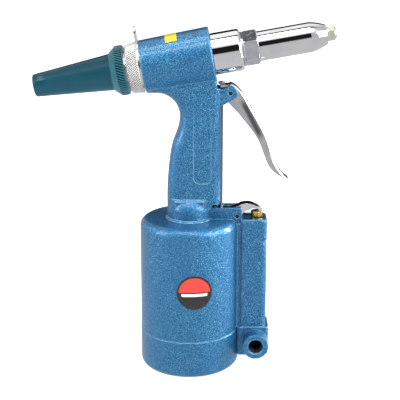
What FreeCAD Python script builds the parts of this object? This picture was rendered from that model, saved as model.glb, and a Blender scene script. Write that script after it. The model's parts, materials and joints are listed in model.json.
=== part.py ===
import FreeCAD, Part
import math
import os
from FreeCAD import Placement, Rotation, Vector

# Air-over-oil blind rivet gun, in millimetres.
# Origin: centre of the base cap's underside. +Z is up, +X is towards the nose.
# The air cylinder stands on the Z axis. The barrel line leans up towards the nose, and pieces on it are
# drawn along +X about the X axis and then carried to that line.
# Outlines are drawn in the XZ plane as (x, z) points.

# ---------------------------------------------------------------- driving dimensions
RUN_GAP = 0.05            # radial clearance of a piece that slides or turns in another
JOIN_GAP = 0.02           # radial clearance of a screwed or pressed joint
SEAL_W = 2.0              # width of a small seal's groove
SEAL_DEPTH = 1.95         # depth of the groove, from the face the seal runs on
SEAL_SLACK = 0.05         # gap between a seal and its groove

# air cylinder and base cap
CYLINDER_R = 43.0
CYLINDER_TAPER = 0.4
CYLINDER_BORE_R = 38.5
CYLINDER_TOP_Z = 135.5
CYLINDER_ROOF = 5.5
TOP_ROUND = 7.0
CAP_TOP_Z = 34.5
CAP_PROUD = 0.7
CAP_ROUND = 5.5
CAP_FLOOR = 7.0
CAP_THREAD_R = 40.9
CAP_THREAD_END_Z = 13.0
GASKET_THICK = 0.5
PEDESTAL_R = 22.0
PEDESTAL_TOP_Z = 32.0

# air piston and plunger
PISTON_LOW_Z = 40.0
PISTON_THICK = 14.0
PISTON_R = 38.2
PISTON_SEAL_R = 33.5
PLUNGER_R = 6.0
PLUNGER_TOP_Z = 150.0
STUD_R = 4.0
GLAND_R = 9.0
GLAND_TOP_Z = 141.0
PLUNGER_SEALS_Z = (122.0, 135.0)
GLAND_RING_Z = 129.0
GLAND_RING_DEPTH = 1.6
SPIGOT_R = 12.0
SPIGOT_LOW_Z = 118.0
LOCK_NUT_FLATS = 34.0

# handle
NECK_X = 0.5
NECK_R = 19.7
NECK_FLARE = 1.5
LEDGE_HALF_WIDTH = 15.1
LEDGE_Z = 152.6
HANDLE_LOW_Z = 143.0
TOE_Z = 150.0
HANDLE_HALF_WIDTH = 13.2
HANDLE_FRONT_X = 27.0
HANDLE_REAR_X = -19.1
WAIST_X = -7.8
WAIST_Z = 226.0
WEB_ROUND = 19.4

# barrel line
BARREL_Z = 274.1
BARREL_LEAN = 10.0
HEAD_REAR = -39.6
HEAD_FRONT = 20.3
HEAD_REAR_R = 22.1
HEAD_FRONT_R = 23.6
OIL_BORE_R = 14.5
OIL_BORE_FRONT = 9.0
NOSE_THREAD_R = 16.0
BLEED_X = 2.0
BLEED_R = 2.5
BLEED_FACE_Y = 22.2
CAP_THREAD_REAR_R = 17.5
CAP_THREAD_LENGTH = 8.4
SLEEVE_R = 17.5
SLEEVE_END = 45.0
FRAME_THREAD_R = 12.0
FRAME_START = 36.0
HEX_START = 47.0
HEX_END = 59.0
HEX_FLATS = 25.4
BARREL_R = 12.5
BARREL_END = 103.0
NOSE_START = 116.6
NOSE_R = 8.1
NOSE_END = 124.5
MANDREL_R = 2.1
TIP_SHANK_R = 4.6

# pull piston, jaw case and jaws
PULL_ROD_R = 8.9
PULL_ROD_THREAD_R = 7.0
PULL_ROD_END = 24.0
PISTON_BACK = -10.0
PISTON_GROOVE = (-7.0, -3.0)
PISTON_GROOVE_R = 11.5
TAIL_R = 6.0
TAIL_END = -57.0
TAIL_SEAL_START = -45.0
SPRING_REAR = -38.0
SPRING_FRONT = PISTON_BACK - 0.1
SPRING_COIL_R = 10.6
SPRING_WIRE_R = 1.1
SPRING_TURNS = 4
FRONT_GLAND_START = 4.0
FRONT_GLAND_END = 12.0
FRONT_RING_START = 5.5
ROD_SEAL_START = 8.0
DRAWBAR_END = 66.0
PULL_BORE_R = 3.0
CASE_R = 9.3
CASE_BORE_R = 8.3
CASE_MOUTH_R = 5.3
CASE_END = 106.0
CASE_THREAD_LENGTH = 8.0
JAW_ANGLE = 12.0
JAW_START = 92.5
JAW_END = 103.2
JAW_SPLIT = 0.9
PUSHER_START = 84.0

# rear cap, hanger and collector
HANGER_THICK = 1.6
HANGER_TAB_R = 5.6
HANGER_HOLE_R = 3.2
HANGER_HOLE_Z = 28.8
END_CAP_LENGTH = 10.8
END_CAP_FRONT_R = 21.9
END_CAP_REAR_R = 20.3
SPIGOT_REAR_R = 14.8
SPIGOT_REAR_LENGTH = 6.8
RING_THICK = 0.5
RIM_R = 21.0
RIM_START = -53.0
RIM_END = -61.0
CONE_START = -66.0
CONE_START_R = 15.5
COLLECTOR_END = -132.3
COLLECTOR_END_R = 9.4

# trigger linkage
TRIGGER_PIVOT = (35.0, 246.4)
PIN_R = 1.8
EAR_R = 6.0
EAR_IN_Y = 6.9
EAR_OUT_Y = 10.9
TRIGGER_HALF_WIDTH = 6.5
BEAD_RISE = 5.2           # height of the tail's bead over the trigger pivot
BEAD_R = 1.2
SHEET = 1.6
ROD_X = 27.7
ROD_R = 1.5
ROD_NUT_HEIGHT = 1.8
LEVER_PIVOT = (41.7, 138.0)
LEVER_HALF_WIDTH = 4.8
CHEEK_IN_Y = 5.4
CHEEK_OUT_Y = 8.4
ARM_TOP_Z = 145.4

# valve column and air inlet
VALVE_X = 59.0
COLUMN_NEAR_X = 45.2
COLUMN_FAR_X = 68.0
COLUMN_HALF_WIDTH = 12.5
BLOCK_FAR_X = 70.6
BLOCK_HALF_WIDTH = 13.6
BLOCK_LOW_Z = 7.8
BLOCK_TOP_Z = 36.0
BUTTON_R = 5.2
BUTTON_TOP_Z = 141.0
BUTTON_HEIGHT = 7.7
SPOOL_BORE_R = 4.5
STEM_LOW_Z = 84.0
LANDS_Z = (90.0, 104.0, 120.0)
VALVE_RING_DEPTH = 1.25
SUPPLY_PORT_Z = 98.0
EXHAUST_PORT_Z = 114.3
VALVE_BORE_R = 6.5
VALVE_BORE_LOW_Z = 70.0
FEED_R = 4.0
INLET_X = 58.5
INLET_Z = 22.4
INLET_BOSS_R = 11.4
INLET_FACE_Y = -26.5
INLET_R = 6.25
INLET_DEPTH = 14.0
INLET_RELIEF_R = 6.8
INLET_RELIEF_LENGTH = 2.4
FILTER_THICK = 1.2

X_AXIS = Vector(1, 0, 0)
Y_AXIS = Vector(0, 1, 0)
Z_AXIS = Vector(0, 0, 1)
ORIGIN = Vector(0, 0, 0)
BARREL_LINE = Placement(Vector(0, 0, BARREL_Z), Rotation(Y_AXIS, -BARREL_LEAN))


# ---------------------------------------------------------------- drawing helpers
def outline(start, *moves):
    """Closed wire in the XZ plane. A move is a point, or a (through, end) pair of points for an arc."""
    edges = []
    here = start
    for move in moves + (start,):
        is_arc = isinstance(move[0], tuple)
        end = move[1] if is_arc else move
        if is_arc:
            edges.append(Part.Arc(at(*here), at(*move[0]), at(*end)).toShape())
        elif (at(*end) - at(*here)).Length > 1e-6:
            edges.append(Part.makeLine(at(*here), at(*end)))
        here = end
    return Part.Wire(edges)


def at(x, z, y=0.0):
    return Vector(x, y, z)


def turned_z(wire, x=0.0):
    """Solid of revolution about a vertical axis. The wire's x values are radii."""
    solid = Part.Face(wire).revolve(ORIGIN, Z_AXIS, 360)
    solid.translate(Vector(x, 0, 0))
    return solid


def turned_x(wire):
    """Solid of revolution about the X axis. The wire's z values are radii."""
    return Part.Face(wire).revolve(ORIGIN, X_AXIS, 360)


def plate(wire, y_low, y_high):
    face = Part.Face(wire)
    face.translate(Vector(0, y_low, 0))
    return face.extrude(Vector(0, y_high - y_low, 0))


def bar(radius, start, end):
    """Round bar between two (x, y, z) points."""
    line = Vector(*end) - Vector(*start)
    return Part.makeCylinder(radius, line.Length, Vector(*start), line)


def bar_z(radius, z_low, z_high, x=0.0):
    return bar(radius, (x, 0, z_low), (x, 0, z_high))


def bar_x(radius, start, end):
    return bar(radius, (start, 0, 0), (end, 0, 0))


def pin_y(radius, centre, half_length):
    return bar(radius, (centre[0], -half_length, centre[1]), (centre[0], half_length, centre[1]))


def ring_z(z_low, z_high, r_in, r_out, x=0.0):
    return bar_z(r_out, z_low, z_high, x).cut(bar_z(r_in, z_low - 1, z_high + 1, x))


def ring_x(start, end, r_in, r_out):
    return bar_x(r_out, start, end).cut(bar_x(r_in, start - 1, end + 1))


def block(x_range, y_range, z_range):
    size = [high - low for low, high in (x_range, y_range, z_range)]
    return Part.makeBox(*size, Vector(x_range[0], y_range[0], z_range[0]))


def hexagon_x(flats, start, end):
    """Hexagonal bar along X with two corners in the XZ plane."""
    corner = flats / math.sqrt(3)
    angles = [math.radians(90 + 60 * k) for k in range(6)]
    corners = [Vector(start, corner * math.cos(a), corner * math.sin(a)) for a in angles]
    return Part.Face(Part.makePolygon(corners + corners[:1])).extrude(Vector(end - start, 0, 0))


def upright(shape, x=0.0):
    """Stand a piece drawn along +X on end, pointing up, over the point x."""
    turned = shape.copy()
    turned.Placement = Placement(Vector(x, 0, 0), Rotation(Y_AXIS, -90)) * shape.Placement
    return turned


def hex_nut_z(flats, hole_r, z_low, z_high, x=0.0):
    blank = upright(hexagon_x(flats, z_low, z_high), x)
    return blank.cut(bar_z(hole_r, z_low - 1, z_high + 1, x))


def coil_x(mean_r, wire_r, start, end, turns):
    """Round-wire compression spring between two planes across the X axis."""
    length = end - start - 2 * wire_r
    helix = Part.makeHelix(length / turns, length, mean_r)
    section = Part.Circle(Vector(mean_r, 0, 0), Y_AXIS, wire_r).toShape()
    spring = Part.Wire(helix.Edges).makePipeShell([Part.Wire([section])], True, True)
    spring.Placement = Placement(Vector(start + wire_r, 0, 0), Rotation(Y_AXIS, 90))
    return spring


def on_barrel(shape):
    """Carry a piece drawn along +X to the leaning barrel line."""
    placed = shape.copy()
    placed.Placement = BARREL_LINE * shape.Placement
    return placed


def rounded(shape, radius, wanted):
    """Round every edge whose middle point passes the test."""
    edges = [edge for edge in shape.Edges if wanted(middle(edge), edge)]
    return shape.makeFillet(radius, edges)


def middle(edge):
    return edge.valueAt((edge.FirstParameter + edge.LastParameter) / 2)


def is_upright(edge):
    first, last = edge.Vertexes[0].Point, edge.Vertexes[-1].Point
    return abs(first.z - last.z) > 1 and math.hypot(first.x - last.x, first.y - last.y) < 0.01


def both_sides(shape):
    return shape.fuse(shape.mirror(ORIGIN, Y_AXIS))


# ---------------------------------------------------------------- body casting
def head_r(along):
    """Outer radius of the slightly tapered head, at a distance along the barrel line."""
    share = (along - HEAD_REAR) / (HEAD_FRONT - HEAD_REAR)
    return HEAD_REAR_R + share * (HEAD_FRONT_R - HEAD_REAR_R)


def head_blank():
    edge = 0.8
    return turned_x(outline(
        (HEAD_REAR, 0), (HEAD_REAR, HEAD_REAR_R - edge), (HEAD_REAR + edge, head_r(HEAD_REAR + edge)),
        (HEAD_FRONT - edge, head_r(HEAD_FRONT - edge)), (HEAD_FRONT, HEAD_FRONT_R - edge), (HEAD_FRONT, 0)))


def head_bores():
    """Oil bore with a wider threaded bore at each end, for the rear cap and for the nose."""
    thread_end = HEAD_REAR + CAP_THREAD_LENGTH + 0.2
    rear_r = CAP_THREAD_REAR_R + JOIN_GAP
    front_r = NOSE_THREAD_R + JOIN_GAP
    return turned_x(outline(
        (HEAD_REAR - 1, 0), (HEAD_REAR - 1, rear_r), (thread_end, rear_r), (thread_end, OIL_BORE_R),
        (OIL_BORE_FRONT, OIL_BORE_R), (OIL_BORE_FRONT, front_r), (HEAD_FRONT + 1, front_r),
        (HEAD_FRONT + 1, 0)))


def handle_side_outline():
    """Side view of the grip: a palm swell that narrows to a waist, then a round web under the head."""
    web_x = WAIST_X - WEB_ROUND
    web_z = WAIST_Z + WEB_ROUND
    diagonal = WEB_ROUND * math.sqrt(0.5)
    back = Part.BSplineCurve()
    back.interpolate(
        Points=[at(WAIST_X, WAIST_Z), at(-13.6, 204), at(-17.2, 185), at(HANDLE_REAR_X + 0.1, 160),
                at(HANDLE_REAR_X, HANDLE_LOW_Z)],
        InitialTangent=Vector(0, 0, -20), FinalTangent=Vector(0, 0, -10))
    web = Part.Arc(at(web_x, web_z), at(web_x + diagonal, WAIST_Z + diagonal), at(WAIST_X, WAIST_Z))
    toe_round = 3.5
    bottom = [at(HANDLE_REAR_X, HANDLE_LOW_Z), at(14, HANDLE_LOW_Z), at(20.5, TOE_Z),
              at(HANDLE_FRONT_X - toe_round, TOE_Z)]
    toe = Part.Arc(bottom[-1], at(HANDLE_FRONT_X - 1, TOE_Z + 1), at(HANDLE_FRONT_X, TOE_Z + toe_round))
    top = [at(HANDLE_FRONT_X, TOE_Z + toe_round), at(HANDLE_FRONT_X, 240), at(21, 262), at(-30, 262),
           at(-38, 254), at(-38, web_z), at(web_x, web_z)]
    lines = [Part.makeLine(a, b) for run in (bottom, top) for a, b in zip(run, run[1:])]
    return Part.Wire(Part.__sortEdges__(lines + [back.toShape(), web.toShape(), toe.toShape()]))


def grip():
    """The hand grip, well rounded at the back and less at the front."""
    half = HANDLE_HALF_WIDTH
    solid = rounded(plate(handle_side_outline(), -half, half), 11.0, on_grip_back)
    plan = block((-60, HANDLE_FRONT_X), (-half, half), (HANDLE_LOW_Z - 10, BARREL_Z))
    plan = rounded(plan, 6.0, lambda mid, edge: is_upright(edge) and mid.x > 0)
    behind_head = on_barrel(block((HEAD_REAR - 30, HEAD_REAR), (-30, 30), (-40, 40)))
    return solid.common(plan).cut(behind_head)


def side_panels():
    """Shallow panels sunk in the grip's two sides, deepest at the foot and running out at the top."""
    x_low, x_high, z_low, z_high = 3.9, 18.7, 168.4, 234.0
    depth, corner = 0.6, 5.0
    face_y = HANDLE_HALF_WIDTH
    outer_y = face_y + 1
    panel = block((x_low, x_high), (face_y - depth, outer_y), (z_low, z_high + corner))
    panel = rounded(panel, corner, is_across)
    profile = [(face_y - depth, z_low - 1), (outer_y, z_low - 1), (outer_y, z_high), (face_y, z_high)]
    ends = profile + profile[:1]
    wedge = Part.Face(Part.makePolygon([at(x_low, z, y) for y, z in ends]))
    return both_sides(panel.common(wedge.extrude(Vector(x_high - x_low, 0, 0))))


def is_across(mid, edge):
    """True for an edge along Y."""
    first, last = edge.Vertexes[0].Point, edge.Vertexes[-1].Point
    return abs(first.y - last.y) > 0.5 and math.hypot(first.x - last.x, first.z - last.z) < 0.01


def on_grip_back(mid, edge):
    at_side = abs(abs(mid.y) - HANDLE_HALF_WIDTH) < 0.01
    return at_side and mid.x < WAIST_X + 0.5 and HANDLE_LOW_Z + 1 < mid.z < WAIST_Z + WEB_ROUND + 0.1


def ears():
    """Two ears under the head's front that carry the trigger pin."""
    below, front, above = ear_rim(-63), ear_rim(0), ear_rim(105)
    side = outline((16, 229), (23, 233.1), below, (front, above), ((26.8, 249.9), (20.5, 254.5)), (16, 256))
    ear = plate(side, EAR_IN_Y, EAR_OUT_Y)
    ear = rounded(ear, 0.9, lambda mid, edge: abs(mid.y - EAR_OUT_Y) < 0.01 and mid.x > 17)
    return both_sides(ear)


def ear_rim(angle):
    """Point on the ear's round end, at an angle from straight forward."""
    turn = math.radians(angle)
    return TRIGGER_PIVOT[0] + EAR_R * math.cos(turn), TRIGGER_PIVOT[1] + EAR_R * math.sin(turn)


def neck():
    """Round collar that stands on the cylinder, with the threaded spigot that goes through its roof."""
    spigot = bar_z(SPIGOT_R - JOIN_GAP, SPIGOT_LOW_Z, CYLINDER_TOP_Z + 1)
    return neck_collar(0.0).fuse([neck_ledge(), spigot])


def neck_collar(gap):
    """Collar with a flared foot and rounded shoulders, enlarged all round by a gap."""
    foot, top = CYLINDER_TOP_Z, LEDGE_Z
    return turned_z(outline(
        (0, foot), (NECK_R + NECK_FLARE + gap, foot), (NECK_R + gap, foot + NECK_FLARE),
        (NECK_R + gap, HANDLE_LOW_Z), ((NECK_R - 1.3 + gap, top - 4), (NECK_R - 5.2 + gap, top)), (0, top)),
        NECK_X)


def neck_ledge():
    """Wider flats at the foot of the grip's sides, with a slanted top edge."""
    half, low = LEDGE_HALF_WIDTH, HANDLE_LOW_Z
    rise = half - HANDLE_HALF_WIDTH + 0.1
    corners = [(-half, low), (half, low), (half, LEDGE_Z), (half - rise, LEDGE_Z + rise),
               (rise - half, LEDGE_Z + rise), (-half, LEDGE_Z), (-half, low)]
    section = Part.Face(Part.makePolygon([at(-NECK_R, z, y) for y, z in corners]))
    flats = section.extrude(Vector(2 * NECK_R + 1, 0, 0))
    return flats.common(bar_z(NECK_R - 0.5, low, LEDGE_Z + rise, NECK_X))


def oil_passage():
    """Gland pocket, plunger bore and the narrow way up into the head."""
    bore_top = 216.0
    gland = bar_z(GLAND_R + JOIN_GAP, SPIGOT_LOW_Z - 1, GLAND_TOP_Z)
    bore = bar_z(PLUNGER_R + 0.2, GLAND_TOP_Z - 1, bore_top)
    way_up = bar_z(2.0, bore_top - 1, 262, 4.4)
    return gland.fuse([bore, way_up])


def bleed_hole():
    """Threaded hole with a spot face on the far side of the head, into the oil space."""
    x = BLEED_X
    hole = bar(BLEED_R + JOIN_GAP, (x, 8, 0), (x, 30, 0))
    spot_face = bar(5.0, (x, BLEED_FACE_Y, 0), (x, 30, 0))
    return on_barrel(hole.fuse(spot_face))


def body_casting():
    slot = block((22.4, 45), (-EAR_IN_Y, EAR_IN_Y), (233, 262))
    channel_back = ROD_X - ROD_R - 0.5
    channel = block((channel_back, 30), (-2.2, 2.2), (HANDLE_LOW_Z - 1, 240))
    lower = grip().fuse([ears(), neck()]).cut([slot, channel, side_panels()])
    solid = lower.fuse(on_barrel(head_blank())).removeSplitter()
    cuts = [on_barrel(head_bores()), oil_passage(), bleed_hole(), pin_y(PIN_R, TRIGGER_PIVOT, 20)]
    return solid.cut(cuts)


# ---------------------------------------------------------------- air cylinder with valve column
def cylinder_r(z):
    """Outer radius of the cylinder, which has a slight casting taper."""
    share = (CYLINDER_TOP_Z - TOP_ROUND - z) / (CYLINDER_TOP_Z - TOP_ROUND - CAP_TOP_Z)
    return CYLINDER_R + CYLINDER_TAPER * share


def cylinder_shell():
    """Cylinder wall and roof, with a lower skirt that screws into the base cap."""
    r, top = CYLINDER_R, CYLINDER_TOP_Z
    corner = TOP_ROUND * (1 - math.sqrt(0.5))
    return turned_z(outline(
        (CYLINDER_BORE_R, CAP_THREAD_END_Z), (CAP_THREAD_R, CAP_THREAD_END_Z), (CAP_THREAD_R, CAP_TOP_Z),
        (cylinder_r(CAP_TOP_Z), CAP_TOP_Z), (r, top - TOP_ROUND),
        ((r - corner, top - corner), (r - TOP_ROUND, top)), (SPIGOT_R, top), (SPIGOT_R, top - CYLINDER_ROOF),
        (CYLINDER_BORE_R, top - CYLINDER_ROOF)))


def valve_column():
    """Upright rounded column beside the cylinder, tied to it by a web, on a wider inlet block."""
    top = CYLINDER_TOP_Z + 0.3
    column = block((COLUMN_NEAR_X, COLUMN_FAR_X), (-COLUMN_HALF_WIDTH, COLUMN_HALF_WIDTH), (20, top))
    column = rounded(column, 5.0, lambda mid, edge: is_upright(edge) and mid.x > VALVE_X)
    column = rounded(column, 1.2, lambda mid, edge: is_upright(edge) and mid.x < VALVE_X)
    column = rounded(column, 1.6, lambda mid, edge: mid.z > top - 0.01)
    web = block((CYLINDER_R - 8, COLUMN_NEAR_X + 1), (-10.5, 10.5), (CAP_TOP_Z + 1.5, top - 4))
    base = block((COLUMN_NEAR_X - 4, BLOCK_FAR_X), (-BLOCK_HALF_WIDTH, BLOCK_HALF_WIDTH),
                 (BLOCK_LOW_Z, BLOCK_TOP_Z))
    base = rounded(base, 4.0, lambda mid, edge: is_upright(edge) or mid.z < BLOCK_LOW_Z + 0.01)
    base = rounded(base, 0.8, lambda mid, edge: mid.z > BLOCK_TOP_Z - 0.01)
    boss = bar(INLET_BOSS_R, (INLET_X, INLET_FACE_Y, INLET_Z), (INLET_X, 0, INLET_Z))
    boss = rounded(boss, 0.9, lambda mid, edge: mid.y < INLET_FACE_Y + 0.01)
    return column.fuse([web, base, boss])


def lever_arm():
    """Two cheeks on the roof that carry the valve lever's pin."""
    far_x = COLUMN_NEAR_X + 0.6
    cheek = block((12, far_x), (CHEEK_IN_Y, CHEEK_OUT_Y), (CYLINDER_TOP_Z - 5, ARM_TOP_Z))
    cheek = rounded(cheek, 1.8, lambda mid, edge: mid.x > far_x - 0.01 and mid.z > ARM_TOP_Z - 0.01)
    cheek = rounded(cheek, 0.7, lambda mid, edge: mid.z > ARM_TOP_Z - 1 and mid.y > CHEEK_OUT_Y - 0.01)
    return both_sides(cheek)


def valve_bores():
    """Stepped valve bore, the feed from the inlet, and the ports to the cylinder and to the outside."""
    drop_x = 49.0
    port_z = CAP_TOP_Z + 3.0
    valve = bar_z(VALVE_BORE_R, VALVE_BORE_LOW_Z, 140, VALVE_X)
    feed = bar_z(FEED_R, BLOCK_LOW_Z - 1, VALVE_BORE_LOW_Z + 1, VALVE_X)
    port = bar(2.5, (CYLINDER_BORE_R - 3, 0, port_z), (drop_x + 1, 0, port_z))
    drop = bar_z(2.5, port_z, SUPPLY_PORT_Z + 2, drop_x)
    cross = bar(2.0, (drop_x - 1, 0, SUPPLY_PORT_Z), (VALVE_X, 0, SUPPLY_PORT_Z))
    exhaust = bar(1.6, (VALVE_X, 0, EXHAUST_PORT_Z), (COLUMN_FAR_X + 5, 0, EXHAUST_PORT_Z))
    return [valve, feed, port, drop, cross, exhaust]


def exhaust_notch():
    """V-shaped groove across the column's outer face, where the spent air leaves."""
    depth = 3.4
    z = EXHAUST_PORT_Z
    wire = outline((COLUMN_FAR_X - depth, z + 0.3), (COLUMN_FAR_X + 1, z - 4.1), (COLUMN_FAR_X + 1, z + 3.7))
    return plate(wire, -30, 30)


def inlet_bore():
    """Tapped air inlet with a wide mouth chamfer, a thread relief at its root and a hole in to the feed."""
    face, root = INLET_FACE_Y, INLET_FACE_Y + INLET_DEPTH
    tapped = bar(INLET_R, (INLET_X, face - 1, INLET_Z), (INLET_X, root, INLET_Z))
    relief = bar(INLET_RELIEF_R, (INLET_X, root - INLET_RELIEF_LENGTH, INLET_Z), (INLET_X, root, INLET_Z))
    narrow = bar(4.6, (INLET_X, root - 1, INLET_Z), (INLET_X, 2, INLET_Z))
    mouth = Part.makeCone(INLET_R + 1.9, INLET_R, 1.9, Vector(INLET_X, face - 1, INLET_Z), Y_AXIS)
    return [tapped, relief, narrow, mouth]


def air_cylinder():
    top = CYLINDER_TOP_Z
    solid = cylinder_shell().fuse([valve_column(), lever_arm()]).removeSplitter()
    lever_pocket = block((36, COLUMN_NEAR_X + 2), (-CHEEK_IN_Y, CHEEK_IN_Y), (top - 2.2, top + 2))
    cap_room = bar_z(CYLINDER_R + CAP_PROUD + 0.5, -1, CAP_TOP_Z).cut(bar_z(CAP_THREAD_R, -2, 50))
    bore = bar_z(CYLINDER_BORE_R, 0, top - CYLINDER_ROOF)
    cuts = [lever_pocket, button_well(), neck_collar(0.1), cap_room, bore, exhaust_notch()]
    cuts.append(pin_y(PIN_R, LEVER_PIVOT, 12))
    return solid.cut(cuts + valve_bores() + inlet_bore())


def button_well():
    """Sunk floor round the valve button, open towards the lever's arm."""
    low, high = CYLINDER_TOP_Z - 1.5, CYLINDER_TOP_Z + 2
    well_r = 8.2
    approach = block((COLUMN_NEAR_X + 1.6, VALVE_X), (-well_r, well_r), (low, high))
    return approach.fuse(ring_z(low, high, 1, well_r, VALVE_X))


def base_cap():
    """Screwed base cup with a central pedestal for the piston bumper."""
    r = CYLINDER_R + CAP_PROUD
    inside = CAP_THREAD_R + JOIN_GAP
    corner = CAP_ROUND * (1 - math.sqrt(0.5))
    shoulder = CAP_THREAD_END_Z - GASKET_THICK
    rim = CAP_TOP_Z - 0.2
    edge = 0.7
    cup = turned_z(outline(
        (0, 0), (r - CAP_ROUND, 0), ((r - corner, corner), (r, CAP_ROUND)), (r, rim - edge), (r - edge, rim),
        (inside, rim), (inside, shoulder), (CYLINDER_BORE_R, shoulder), (CYLINDER_BORE_R, CAP_FLOOR),
        (0, CAP_FLOOR)))
    return cup.fuse(ring_z(CAP_FLOOR - 1, PEDESTAL_TOP_Z, 12, PEDESTAL_R)).removeSplitter()


def base_gasket():
    """Flat ring squeezed between the cap's shoulder and the cylinder's lower edge."""
    low = CAP_THREAD_END_Z - GASKET_THICK + JOIN_GAP
    return ring_z(low, CAP_THREAD_END_Z - JOIN_GAP, CYLINDER_BORE_R + 0.1, CAP_THREAD_R - 0.1)


def piston_bumper():
    return ring_z(PEDESTAL_TOP_Z, PISTON_LOW_Z - 0.1, 11, PEDESTAL_R - 1)


def handle_lock_nut():
    roof = CYLINDER_TOP_Z - CYLINDER_ROOF
    return hex_nut_z(LOCK_NUT_FLATS, SPIGOT_R, roof - 8, roof)


def inlet_filter():
    root = INLET_FACE_Y + INLET_DEPTH
    return bar(INLET_R - JOIN_GAP, (INLET_X, root - FILTER_THICK, INLET_Z), (INLET_X, root, INLET_Z))


# ---------------------------------------------------------------- air piston, plunger and oil gland
def air_piston():
    top = PISTON_LOW_Z + PISTON_THICK
    disc = ring_z(PISTON_LOW_Z, top, STUD_R + JOIN_GAP, PISTON_R)
    groove = ring_z(top - 9, top - 5, PISTON_SEAL_R, PISTON_R + 1)
    hollow = ring_z(top - 3, top + 1, 14, 31)
    return disc.cut([groove, hollow])


def air_piston_seal():
    top = PISTON_LOW_Z + PISTON_THICK
    return ring_z(top - 8.9, top - 5.1, PISTON_SEAL_R + 0.1, CYLINDER_BORE_R - RUN_GAP)


def plunger():
    top = PISTON_LOW_Z + PISTON_THICK
    rod = bar_z(PLUNGER_R, top, PLUNGER_TOP_Z).fuse(bar_z(STUD_R, PISTON_LOW_Z - 7.2, top + 1))
    return rounded(rod.removeSplitter(), 0.8, lambda mid, edge: mid.z > PLUNGER_TOP_Z - 0.01)


def piston_nut():
    return hex_nut_z(13, STUD_R, PISTON_LOW_Z - 6.7, PISTON_LOW_Z)


def oil_gland():
    """Bronze bush that guides the plunger and carries its two seals."""
    inner = PLUNGER_R + RUN_GAP
    bush = ring_z(SPIGOT_LOW_Z, GLAND_TOP_Z - 0.1, inner, GLAND_R)
    grooves = [ring_z(z, z + SEAL_W, PLUNGER_R - 1, inner + SEAL_DEPTH) for z in PLUNGER_SEALS_Z]
    outside = ring_z(GLAND_RING_Z, GLAND_RING_Z + SEAL_W, GLAND_R - GLAND_RING_DEPTH, GLAND_R + 1)
    return bush.cut(grooves + [outside])


def plunger_seals():
    return Part.makeCompound([upright(seal_ring_x(z, PLUNGER_R + RUN_GAP)) for z in PLUNGER_SEALS_Z])


def gland_o_ring():
    low, high = GLAND_RING_Z + SEAL_SLACK, GLAND_RING_Z + SEAL_W - SEAL_SLACK
    return ring_z(low, high, GLAND_R - GLAND_RING_DEPTH + SEAL_SLACK, GLAND_R)


# ---------------------------------------------------------------- pull piston and its glands
def pull_piston():
    """Hollow hydraulic piston: tail tube, head with a seal groove, rod and front thread in one piece."""
    head_r = OIL_BORE_R - RUN_GAP
    start, end = PISTON_GROOVE
    thread_end = PULL_ROD_END + 8.0
    body = turned_x(outline(
        (TAIL_END, PULL_BORE_R), (TAIL_END, TAIL_R - 0.5), (TAIL_END + 0.5, TAIL_R), (PISTON_BACK, TAIL_R),
        (PISTON_BACK, head_r), (start, head_r), (start, PISTON_GROOVE_R), (end, PISTON_GROOVE_R),
        (end, head_r), (0, head_r), (0, PULL_ROD_R), (PULL_ROD_END, PULL_ROD_R),
        (PULL_ROD_END, PULL_ROD_THREAD_R), (thread_end, PULL_ROD_THREAD_R), (thread_end, PULL_BORE_R)))
    return on_barrel(body)


def pull_piston_seal():
    start, end = PISTON_GROOVE
    return on_barrel(ring_x(start + 0.1, end - 0.1, PISTON_GROOVE_R + 0.1, OIL_BORE_R - RUN_GAP))


def front_gland():
    """Flanged bush that closes the oil space round the pull rod."""
    inner = PULL_ROD_R + RUN_GAP
    outer = OIL_BORE_R - JOIN_GAP
    ring_end = FRONT_RING_START + SEAL_W
    bush = turned_x(outline(
        (FRONT_GLAND_START, inner), (FRONT_GLAND_START, outer), (FRONT_RING_START, outer),
        (FRONT_RING_START, outer - SEAL_DEPTH), (ring_end, outer - SEAL_DEPTH), (ring_end, outer),
        (OIL_BORE_FRONT, outer), (OIL_BORE_FRONT, NOSE_THREAD_R), (FRONT_GLAND_END, NOSE_THREAD_R),
        (FRONT_GLAND_END, inner)))
    groove = ring_x(ROD_SEAL_START, ROD_SEAL_START + SEAL_W, inner - 1, inner + SEAL_DEPTH)
    return on_barrel(bush.cut(groove))


def front_gland_o_ring():
    outer = OIL_BORE_R - JOIN_GAP
    return on_barrel(seal_ring_x(FRONT_RING_START, outer - SEAL_DEPTH + SEAL_SLACK))


def pull_rod_seal():
    return on_barrel(seal_ring_x(ROD_SEAL_START, PULL_ROD_R + RUN_GAP))


def return_spring():
    """Pushes the pull piston forward. Its closed coils are shorter than the room left at full pull."""
    return on_barrel(coil_x(SPRING_COIL_R, SPRING_WIRE_R, SPRING_REAR, SPRING_FRONT, SPRING_TURNS))


# ---------------------------------------------------------------- rear cap, hanger and collector
def end_cap_front():
    return HEAD_REAR - HANGER_THICK


def end_cap_rear():
    return end_cap_front() - END_CAP_LENGTH


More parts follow.
